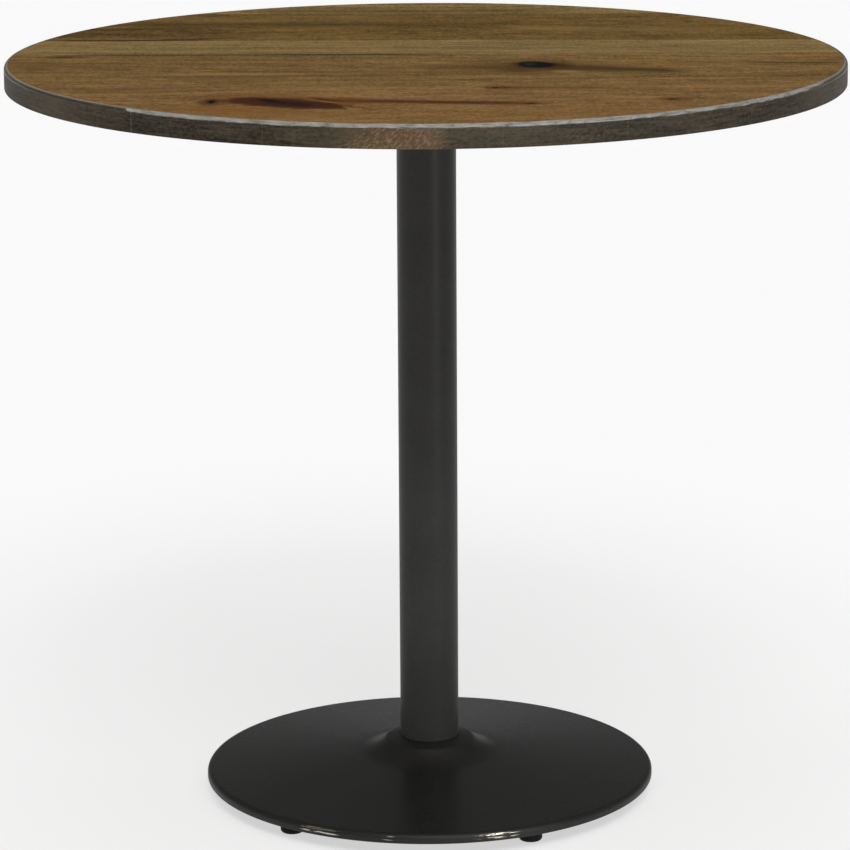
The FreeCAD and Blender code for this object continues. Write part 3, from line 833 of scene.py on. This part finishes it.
def arris_wood(settings):
    """Upper arris of the top: rubbed to a pale grey that is partly wear and partly a painted highlight,
    broadest in front, and nicked here and there.
    """
    graph = paint("worn_arris_and_highlight")
    angle, z = graph.front_angle(), graph.z
    run = angle * TOP_RADIUS
    dark, light, pale = settings.edge_dark[:], settings.edge_light[:], settings.arris_wear_and_highlight[:]
    grain = graph.noise((run * 45.0, z * 420.0, 1.0), detail=5.0, roughness=0.70)
    nick = graph.noise((run * 110.0, z * 120.0, 9.0), detail=3.0).step(0.60, 0.72)
    # Painted highlight: the pale grey is laid on most strongly round the front, from about 40 degrees left to
    # 57 degrees right
    front = angle.hump(-0.71, -0.69, 1.00, 1.30) + angle.bell(1.0) * 0.25
    height = (z - (TOP_HIGH - settings.arris)) / settings.arris
    # Painted highlight as well as wear: the stain is lighter towards the front and towards the top of the
    # rounding
    rubbed = height.step(0.30, 0.90) * (-graph.y / TOP_RADIUS).step(-0.15, 0.20)
    stain = graph.mix(uneven(0.4, (grain, 1.6)) + rubbed * 0.6, dark, light)
    stain = graph.mix(rubbed * height.step(0.75, 0.95) * 0.4, stain, pale)
    worn = uneven(height * 0.8 + front * 0.85, (grain, 1.2)).step(0.90, 1.25)
    wood = graph.mix(worn, stain, graph.mix(uneven(0.6, (grain, 2.5)), light, pale))
    graph.set("Base Color", graph.mix(nick * 0.6, wood, light))
    graph.set("Roughness", uneven(0.36, (grain, 0.4)) + nick * 0.2)
    graph.set("Specular IOR Level", 0.40)
    graph.bump(grain * 0.6 - nick, 0.3 * MM)
    return graph.owner


# Coated metal, nylon and zinc


class Coat(NamedTuple):
    """A powder coat's node tree, its colour and its cloudy noise."""
    graph: Graph
    colour: bpy.types.NodeSocket
    cloud: Field


def powder_coat(name, tone, roughness, gloss=0.33):
    """Charcoal powder coat: nearly flat colour, a fine orange peel and slightly uneven gloss."""
    graph = paint(name)
    peel, dust, cloud = graph.even_noise(900.0), graph.even_noise(260.0), graph.even_noise(9.0, detail=3.0)
    coat = graph.mix((cloud * 0.7 + dust * 0.3).step(0.30, 0.72), tone, shade(tone, 1.35))
    graph.set("Base Color", coat)
    graph.set("Roughness", uneven(roughness, (cloud, 0.10), (dust, 0.06)))
    graph.set("Specular IOR Level", gloss)
    graph.bump(peel * 0.7 + dust * 0.6, 0.04 * MM)
    return Coat(graph, coat, cloud)


# Worn places of the rim: angle from the front, half width and strength; lines of wear: height and half width
RIM_PLACES = ((-0.48, 0.09, 1.0), (0.32, 0.09, 1.0), (-0.16, 0.04, 0.4))
RIM_LINES = ((9.0 * MM, 1.2 * MM), (4.8 * MM, 1.1 * MM))


def base_coat(settings):
    """Powder coat of the base.

    It is thick and matt in the hollow round the neck, rubbed matt on the rim, and worn through to bare metal
    there in chips, most of all in front.
    """
    coat = powder_coat("base_coat", settings.coat[:], settings.roughness)
    graph, z = coat.graph, coat.graph.z
    angle = graph.front_angle()
    radius = graph.x.hypot(graph.y)
    run = angle * BASE_RADIUS
    places = sum((angle - middle).bell(half) * strength for middle, half, strength in RIM_PLACES)
    elsewhere = graph.noise((run * 5.0, 0.0, 3.0), detail=1.0).step(0.62, 0.72) * 0.35
    outside = radius.step(BASE_RADIUS - 5.0 * MM, BASE_RADIUS - 3.5 * MM)
    lines = sum((z - (BASE_LOW + height)).bell(half) for height, half in RIM_LINES)
    chips = graph.noise((run * 55.0, z * 900.0, radius * 900.0), detail=4.0, roughness=0.7).step(0.42, 0.56)
    wear = (chips * lines * outside * (places + elsewhere)).step(0.15, 0.55)
    graph.set("Base Color", graph.mix(wear, coat.colour, settings.bare[:]))
    graph.set("Metallic", wear)
    hollow = radius.fall(64 * MM, 112 * MM)
    rim = radius.step(BASE_RADIUS - settings.rim_round, BASE_RADIUS - 0.3 * settings.rim_round)
    matt = hollow * 0.18 + rim * (1.0 - wear) * 0.25
    graph.set("Roughness", uneven(settings.roughness, (coat.cloud, 0.10)) + matt)
    return graph.owner


def nylon(settings):
    """Moulded black nylon: fine grain and scuffs towards the sole."""
    graph = paint("black_nylon")
    black = settings.nylon[:]
    grain = graph.even_noise(1400.0)
    scuff = graph.noise((graph.x * 300.0, graph.y * 300.0, graph.z * 60.0), detail=3.0).step(0.50, 0.70)
    low = graph.z.fall(0.0, 6 * MM)
    graph.set("Base Color", graph.mix(scuff * low * 0.8, black, shade(black, 2.6)))
    graph.set("Roughness", grain * 0.2 + scuff * 0.1 + 0.50)
    graph.set("Specular IOR Level", 0.20)
    graph.bump(grain, 0.06 * MM)
    return graph.owner


def zinc_plate(settings):
    """Zinc plate: bright metal with faint crystals and cloudy gloss."""
    graph = paint("zinc_plate")
    bright = settings.zinc[:]
    cloud, fine = graph.even_noise(180.0, detail=3.0), graph.even_noise(1500.0)
    graph.set("Base Color", graph.mix(cloud.step(0.30, 0.70), shade(bright, 0.62), bright))
    graph.set("Metallic", 1.0)
    graph.set("Roughness", uneven(0.30, (cloud, 0.2)) + fine * 0.08)
    graph.bump(fine, 0.04 * MM)
    return graph.owner


# Pieces


def board_shells(front, back, settings):
    """Wall, upper and lower face of one board, a slice of the round top between two joints.

    The wall carries a rounded edge section round the slice: at inset d the loop is the circle of radius
    R - d between the two joint lines, each moved in by the seam's bevel. The faces are rulings between the
    two arcs of the first and of the last loop.
    """
    bend = np.linspace(0, math.pi / 2, 9)
    plumb = np.linspace(TOP_LOW + settings.lower_arris, TOP_HIGH - settings.arris, 5)[1:-1]
    inset = np.concatenate([settings.lower_arris * (1 - np.sin(bend)), np.zeros(len(plumb)),
                            settings.arris * (1 - np.cos(bend))])
    height = np.concatenate([TOP_LOW + settings.lower_arris * (1 - np.cos(bend)), plumb,
                             TOP_HIGH - settings.arris * (1 - np.sin(bend))])
    bevel = settings.seam * np.minimum(1, inset / settings.lower_arris)
    radius = TOP_RADIUS - inset
    low = np.maximum(front + bevel, -radius) if front > -TOP_RADIUS else -radius
    high = np.minimum(back - bevel, radius) if back < TOP_RADIUS else radius
    start = np.arcsin(low / radius)
    sweep = np.arcsin(high / radius) - start
    columns = int(60 + 180 * sweep[0] / math.pi)
    angle = start[:, None] + sweep[:, None] * np.linspace(0, 1, columns)
    x, y = radius[:, None] * np.cos(angle), radius[:, None] * np.sin(angle)
    ruling = np.linspace(1, -1, 41)
    inner = ruling[1:-1]
    sides = ((x, y), (x[:, -1:] * inner, y[:, -1:]), (-x[:, ::-1], y[:, ::-1]), (-x[:, :1] * inner, y[:, :1]))
    wall = np.concatenate([stacked(*side, height[:, None]) for side in sides], axis=1)
    split = len(height) - len(bend)
    shells = [Shell(wall[:split + 1], material=1), Shell(wall[split:], material=2)]
    for row, level in ((0, TOP_LOW), (-1, TOP_HIGH)):
        shells.append(Shell(stacked(x[row] * ruling[:, None], y[row], level), round_columns=False))
    return shells


class TABLE_OT_boards(bpy.types.Operator):
    """Make the six glued boards of the top"""
    bl_idname = "table.boards"
    bl_label = "Boards"

    def execute(self, context):
        settings = context.scene.table_top
        edge, arris = edge_wood(settings), arris_wood(settings)
        limits = [TOP_RADIUS, *JOINTS, -TOP_RADIUS]
        for number in range(1, BOARDS + 1):
            back, front = limits[number - 1:number + 1]
            materials = [board_wood(number, front, back, settings), edge, arris]
            shells = board_shells(front, back, settings)
            add_piece(f"wood_board_{number}", f"board_{number}", shells, materials)
        return {"FINISHED"}


def spider_arm(turn, settings):
    """One arm and its rib: loops across the arm, carried outwards along it.

    The half width runs evenly from root to tip and closes with a half circle, and the plate's lower corners
    are rounded. The rib's depth runs evenly from the hub to its outer end.
    """
    corner, rib_start, rib_end, rib_half, foot_half, gap = np.array([1.6, 41.4, 172, 4, 3, 0.5]) * MM
    root, reach, tip_half = settings.root, settings.reach, settings.tip_half
    straight = np.linspace(root, reach, 24)
    bend = np.linspace(0, math.pi / 2, 12)[1:]
    station = np.append(straight, reach + tip_half * np.sin(bend))
    taper = np.interp(straight, (root, reach), (settings.root_half, tip_half))
    half = np.append(taper, np.maximum(tip_half * np.cos(bend), LEAST_HALF))[:, None]
    sweep = np.linspace(0, math.pi / 2, 5)
    inset = np.append(0, corner * (1 - np.cos(sweep)))
    drop = np.append(0, corner * (1 - np.sin(sweep)) - settings.plate)
    inset, drop = np.append(inset, inset[::-1]), np.append(drop, drop[::-1])
    side = np.repeat([1.0, -1.0], len(inset) // 2)
    flange = capped(stacked(station[:, None], side * (half - np.minimum(inset, 0.9 * half)), TOP_LOW + drop))
    rib_station = np.linspace(rib_start, rib_end, 16)
    depth = np.interp(rib_station, (rib_start, rib_end), (settings.rib_root, settings.rib_tip))
    ceiling = TOP_LOW - gap
    arm_rib = rib(rib_station, ceiling, ceiling + foot_half - depth, rib_half, foot_half, foot_half)
    return [Shell(turned_about(flange, turn)), Shell(turned_about(arm_rib, turn))]


def hub_section():
    """Section of the spider's hub: a plate round the rod, a socket over the column and a well for the nut."""
    hole = ROD_HOLE / MM
    outline = [
        (hole, -26, 0.4), (38.4, -26, 0.8),  # roof of the socket
        (38.4, -36, 0.6), (44.4, -36, 2.5), (44.4, 0, 0.3),  # outer wall
        (25, 0, 0.5), (25, -18, 1.5), (hole, -18, 0.4),  # well for nut and washer
    ]
    return rounded(np.array(outline) * MM, TOP_LOW)


class TABLE_OT_spider(bpy.types.Operator):
    """Make the cast spider under the top"""
    bl_idname = "table.spider"
    bl_label = "Spider"

    def execute(self, context):
        metal = context.scene.table_metal
        coat = powder_coat("spider_coat", metal.coat[:], metal.spider_roughness)
        shells = [turned_ring(hub_section())]
        for turn in ARM_TURNS:
            shells += spider_arm(turn, context.scene.table_spider)
        add_piece("cast_spider", "spider", shells, [coat.graph.owner])
        return {"FINISHED"}


def screw(middle, seat):
    """Wood screw: a pan head with a cross recess, a shank and a point.

    The head's height falls with a power of the radius, and inside the cross, where the smaller of the two
    offsets is under a half width, it steps up towards the wood.
    """
    columns = 48
    head, crown, fall, recess = np.array([5.5, 4.0, 1.6, 3.4]) * MM
    slot_half, slot_wall, slot_reach, slot_end, slot_depth = np.array([0.75, 0.2, 3.1, 0.6, 1.7]) * MM
    angle = full_turn(columns)
    radius = np.append(np.linspace(0, recess, 12), np.linspace(recess, head, 6)[1:])[:, None]
    offset = np.minimum(np.abs(radius * np.cos(angle)), np.abs(radius * np.sin(angle)))
    inside = np.clip((slot_half - offset) / slot_wall, 0, 1) * np.clip((slot_reach - radius) / slot_end, 0, 1)
    height = seat - crown + fall * (radius / head) ** 2.5 + slot_depth * inside
    shank = np.array([(5.5, -0.6), (5.4, 0), (2.75, 0), (2.75, 21), (2.6, 22), (0, 26)]) * MM
    rest = turned(shank + np.array([0, seat]), columns, middle)
    return Shell(np.concatenate([around(radius, angle, height, middle), rest]))


class TABLE_OT_screws(bpy.types.Operator):
    """Make the eight wood screws of the spider"""
    bl_idname = "table.screws"
    bl_label = "Screws"

    def execute(self, context):
        settings = context.scene.table_spider
        seat = TOP_LOW - settings.plate
        shells = []
        for turn in ARM_TURNS:
            for radius in (settings.inner_screw, settings.reach):
                shells.append(screw((radius * math.cos(turn), radius * math.sin(turn)), seat))
        zinc = zinc_plate(context.scene.table_hardware)
        add_piece("wood_screws", "spider_screws", shells, [zinc])
        return {"FINISHED"}


class TABLE_OT_column(bpy.types.Operator):
    """Make the column"""
    bl_idname = "table.column"
    bl_label = "Column"

    def execute(self, context):
        settings = context.scene.table_metal
        # Painted light: the column gets a lighter copy of the base's charcoal coat
        coat = powder_coat("lit_column_coat", settings.lit_column_coat[:], settings.column_roughness, gloss=0.09)
        inner = COLUMN_RADIUS - settings.column_wall
        outline = sleeve_outline(inner, COLUMN_RADIUS, *extent("column_tube"), 0.3 * MM, 0.7 * MM)
        tube = turned_ring(rounded(outline), columns=128)
        add_piece("column", "column_tube", [tube], [coat.graph.owner])
        return {"FINISHED"}


def base_section(settings):
    """Section of the base, from the hub's underside round the rim to the spigot."""
    hole, neck, dome, rim = ROD_HOLE / MM, settings.neck_radius / MM, DOME_START / MM, BASE_RADIUS / MM
    outline = [
        (hole, 23, 0.5), (34, 23, 1.2), (34, 24.5, 0.7),  # underside of the hub
        (dome, 24.5, 20), (rim - 9, 4.2, 3),  # underside of the dome
        (rim - 9, 0, 1), (rim, 0, 1.8), (rim, 12.1, settings.rim_round / MM),  # rim
        (dome, 32.5, settings.flare / MM), (neck, 48.5, 9), (41.1, 51.5, 0.6),  # flare and neck
        (35.8, 51.5, 0.3), (35.8, 63.5, 2), (hole, 63.5, 0.6),  # spigot in the column
    ]
    return rounded(np.array(outline) * MM, BASE_LOW, steps=11)


def base_rib(turn):
    """One rib under the dome: its upper edge follows the dome, and its foot stays level."""
    start, end, dome_end, inner_height, outer_height = np.array([30, 287, 287.6, 28.5, 8.2]) * MM
    spring, half, foot_half, foot_depth = np.array([4.6, 4.4, 3.2, 1.6]) * MM
    station = np.linspace(start, end, 40)
    ceiling = np.interp(station, (DOME_START, dome_end), (inner_height, outer_height))
    points = rib(station, ceiling, spring, half, foot_half, foot_depth)
    return Shell(turned_about(points + np.array([0, 0, BASE_LOW]), turn))


def glide_middle(number):
    """X and Y of a glide's axis, read from its pad."""
    return tuple(sum(extent(f"glide_pad_{number}", axis)) / 2 for axis in (0, 1))


class TABLE_OT_base(bpy.types.Operator):
    """Make the domed base with its ribs and bosses"""
    bl_idname = "table.base"
    bl_label = "Base"

    def execute(self, context):
        settings = context.scene.table_metal
        hole = (context.scene.table_hardware.stud_radius + GLIDE_PLAY) / MM
        boss = [(hole, 0, 0.5), (14, 0, 1.2), (14.6, 8.2, 0), (hole, 8.2, 0)]
        boss_section = rounded(np.array(boss) * MM, BASE_LOW)
        shells = [turned_ring(base_section(settings), columns=192)]
        for number in range(1, GLIDES + 1):
            x, y = glide_middle(number)
            shells += [base_rib(math.atan2(y, x)), turned_ring(boss_section, 48, (x, y))]
        add_piece("domed_base", "base_casting", shells, [base_coat(settings)])
        return {"FINISHED"}


class TABLE_OT_tie_rod(bpy.types.Operator):
    """Make the tie rod with its nuts and washers"""
    bl_idname = "table.tie_rod"
    bl_label = "Tie rod"

    def execute(self, context):
        settings = context.scene.table_hardware
        zinc = zinc_plate(settings)
        rod = threaded(settings.rod_radius, 0.9 * MM, settings.rod_pitch, *extent("tie_rod"), columns=28,
                       cut=settings.rod_cut)
        add_piece("threaded_rod", "tie_rod", [Shell(rod)], [zinc], sharp=60)
        for end in ("top", "bottom"):
            nut = hexagon_block(settings.nut_flats, *extent(f"rod_nut_{end}"), settings.rod_radius + ROD_PLAY)
            add_piece(f"hexagon_nut_{end}", f"rod_nut_{end}", [Shell(nut)], [zinc], sharp=25)
            heights = extent(f"rod_washer_{end}")
            outline = sleeve_outline(ROD_HOLE, settings.washer_radius, *heights, 0.4 * MM, 0.7 * MM)
            washer = turned_ring(rounded(outline), columns=72)
            add_piece(f"plain_washer_{end}", f"rod_washer_{end}", [washer], [zinc])
        return {"FINISHED"}


def glide_pad():
    """Section of a glide's pad: a round foot with a hole for the stud's journal, as (r, z)."""
    hole = (JOURNAL + GLIDE_PLAY) / MM
    outline = [(0, 0, 0), (15, 0, 4.2), (15, 13, 1.4), (hole, 13, 0.4), (hole, 5, 0.4), (0, 5, 0)]
    return rounded(np.array(outline) * MM)


def glide_stud(number, settings):
    """A glide's stud: a journal in the pad, a hexagon collar above it and a thread up into the boss."""
    radius = JOURNAL / MM
    journal = [(0, 5.3), (radius - 0.3, 5.3), (radius, 5.6), (radius, 13.2), (0, 13.2)]
    collar_low, collar_high, collar_hole, thread_low, thread_depth = np.array([13, 16.6, 3, 16, 0.8]) * MM
    thread_high = extent(f"glide_stud_{number}")[1]
    parts = (
        turned(np.array(journal) * MM, 48),
        hexagon_block(settings.collar_flats, collar_low, collar_high, collar_hole),
        threaded(settings.stud_radius, thread_depth, settings.stud_pitch, thread_low, thread_high),
    )
    return [Shell(part + np.array([*glide_middle(number), 0])) for part in parts]


class TABLE_OT_glides(bpy.types.Operator):
    """Make the five levelling glides"""
    bl_idname = "table.glides"
    bl_label = "Glides"

    def execute(self, context):
        settings = context.scene.table_hardware
        zinc, black = zinc_plate(settings), nylon(settings)
        for number in range(1, GLIDES + 1):
            pad = Shell(turned(glide_pad(), 64, glide_middle(number)))
            add_piece(f"nylon_pad_{number}", f"glide_pad_{number}", [pad], [black],
                      body=f"pad_{number}")
            add_piece(f"threaded_stud_{number}", f"glide_stud_{number}", glide_stud(number, settings), [zinc],
                      body=f"stud_{number}", sharp=30)
        return {"FINISHED"}


# Stage


def floor_paint(settings):
    """Pale floor that keeps the shadow; it is clear when seen from below."""
    graph = paint("pale_floor")
    pale = settings.floor_colour[:]
    cloud = graph.noise((graph.x * 2.0, graph.y * 2.0, 0.0))
    graph.set("Base Color", graph.mix(cloud, pale, shade(pale, 1.03)))
    graph.set("Roughness", 0.9)
    graph.set("Specular IOR Level", 0.0)
    path = graph.node("ShaderNodeLightPath")
    rays = [Field(graph, path.outputs[f"Is {kind} Ray"]) for kind in ("Camera", "Glossy", "Transmission")]
    seen = graph.math("MAXIMUM", graph.math("MAXIMUM", *rays[:2]), rays[2])
    white = graph.node("ShaderNodeEmission")
    clear = graph.node("ShaderNodeBsdfTransparent")
    facing = graph.node("ShaderNodeNewGeometry")
    lit = graph.blend(seen * settings.floor_glow, graph.shader, white)
    choice = graph.blend(facing.outputs["Backfacing"], lit, clear)
    graph.feed(graph.tree.nodes["Material Output"].inputs["Surface"], choice.outputs[0])
    return graph.owner


def add_floor(settings):
    """Round floor far wider than the view, as rings round the table's axis."""
    rings = np.append(0, np.geomspace(0.05, 40, 24))
    mesh = merged_mesh("floor", [Shell(turned(stacked(rings, 0.0)))], [floor_paint(settings)])
    if mesh.polygons[0].normal.z < 0:
        mesh.flip_normals()
    added("floor", mesh)


def add_camera(settings):
    """Camera of the photograph: turned about the table, tilted down and slightly rolled."""
    data = bpy.data.cameras.new("camera")
    data.sensor_width = 36
    data.lens = settings.lens
    data.shift_y = settings.shift
    data.clip_end = 200
    turn, distance = settings.side_turn, settings.distance
    place = Vector((distance * math.sin(turn), -distance * math.cos(turn), settings.height))
    heading = Matrix.Translation(place) @ Matrix.Rotation(turn + settings.aim, 4, "Z")
    tilted = heading @ Matrix.Rotation(math.pi / 2 - settings.pitch, 4, "X")
    camera = added("camera", data)
    camera.matrix_world = tilted @ Matrix.Rotation(settings.roll, 4, "Z")
    bpy.context.scene.camera = camera


def add_lamp(name, kind, strength, towards):
    """Lamp that shines from a direction."""
    data = bpy.data.lights.new(name, kind)
    data.energy = strength
    lamp = added(name, data)
    lamp.rotation_euler = Vector(towards).to_track_quat("Z", "Y").to_euler()
    return lamp


def add_room(settings):
    """Room light: even, and brighter low down behind the table, where a pale wall stands."""
    graph = Graph(bpy.data.worlds.new("room"), "Background", "Generated")
    low = graph.z.fall(0.06, 0.34)
    behind = graph.y.step(-0.3, 0.8) * 0.7 + 0.3
    graph.set("Color", (1.0, 1.0, 1.0))
    graph.set("Strength", low * behind * (settings.wall_level - settings.room_level) + settings.room_level)
    bpy.context.scene.world = graph.owner


def add_lights(settings):
    """A wide panel above, a lamp in front, an upright strip at the right and the room."""
    panel = add_lamp("panel", "SUN", settings.panel, (0.05, -0.15, 1.0))
    panel.data.angle = math.radians(90)
    panel.visible_glossy = False
    key = add_lamp("key", "SUN", settings.key, (0.093, -0.663, 0.743))
    key.data.angle = math.radians(25)
    stand, aim = Vector((1.85, -2.55, 1.2)), Vector((0, 0, 0.5))
    strip = add_lamp("strip", "AREA", settings.strip, stand - aim)
    strip.location = stand
    strip.visible_diffuse = False
    strip.data.shape = "RECTANGLE"
    strip.data.size, strip.data.size_y = 0.36, 2.4
    add_room(settings)


class TABLE_OT_stage(bpy.types.Operator):
    """Set the floor, the camera and the light"""
    bl_idname = "table.stage"
    bl_label = "Stage"

    def execute(self, context):
        settings = context.scene.table_stage
        context.scene.view_settings.view_transform = "Standard"
        add_floor(settings)
        add_camera(settings)
        add_lights(settings)
        return {"FINISHED"}


GROUPS = {"table_top": TopSettings, "table_metal": MetalSettings, "table_spider": SpiderSettings,
          "table_hardware": HardwareSettings, "table_stage": StageSettings}
OPERATORS = (TABLE_OT_boards, TABLE_OT_spider, TABLE_OT_screws, TABLE_OT_column, TABLE_OT_base,
             TABLE_OT_tie_rod, TABLE_OT_glides, TABLE_OT_stage)


class TABLE_PT_pieces(bpy.types.Panel):
    """Lists the table's pieces and their settings"""
    bl_idname = "TABLE_PT_pieces"
    bl_label = "Counter height table"
    bl_space_type = "VIEW_3D"
    bl_region_type = "UI"
    bl_category = "Table"

    def draw(self, context):
        column = self.layout.column(align=True)
        for operator in OPERATORS:
            column.operator(operator.bl_idname)
        for name, group in GROUPS.items():
            box = self.layout.box()
            box.label(text=group.__doc__)
            for setting in group.__annotations__:
                box.prop(getattr(context.scene, name), setting)


CLASSES = (*GROUPS.values(), *OPERATORS, TABLE_PT_pieces)


def register():
    for item in CLASSES:
        bpy.utils.register_class(item)
    for name, group in GROUPS.items():
        setattr(bpy.types.Scene, name, bpy.props.PointerProperty(type=group))


def unregister():
    for name in GROUPS:
        delattr(bpy.types.Scene, name)
    for item in reversed(CLASSES):
        bpy.utils.unregister_class(item)


def main():
    register()
    for operator in OPERATORS:
        group, name = operator.bl_idname.split(".")
        getattr(getattr(bpy.ops, group), name)()


if __name__ == "__main__":
    main()
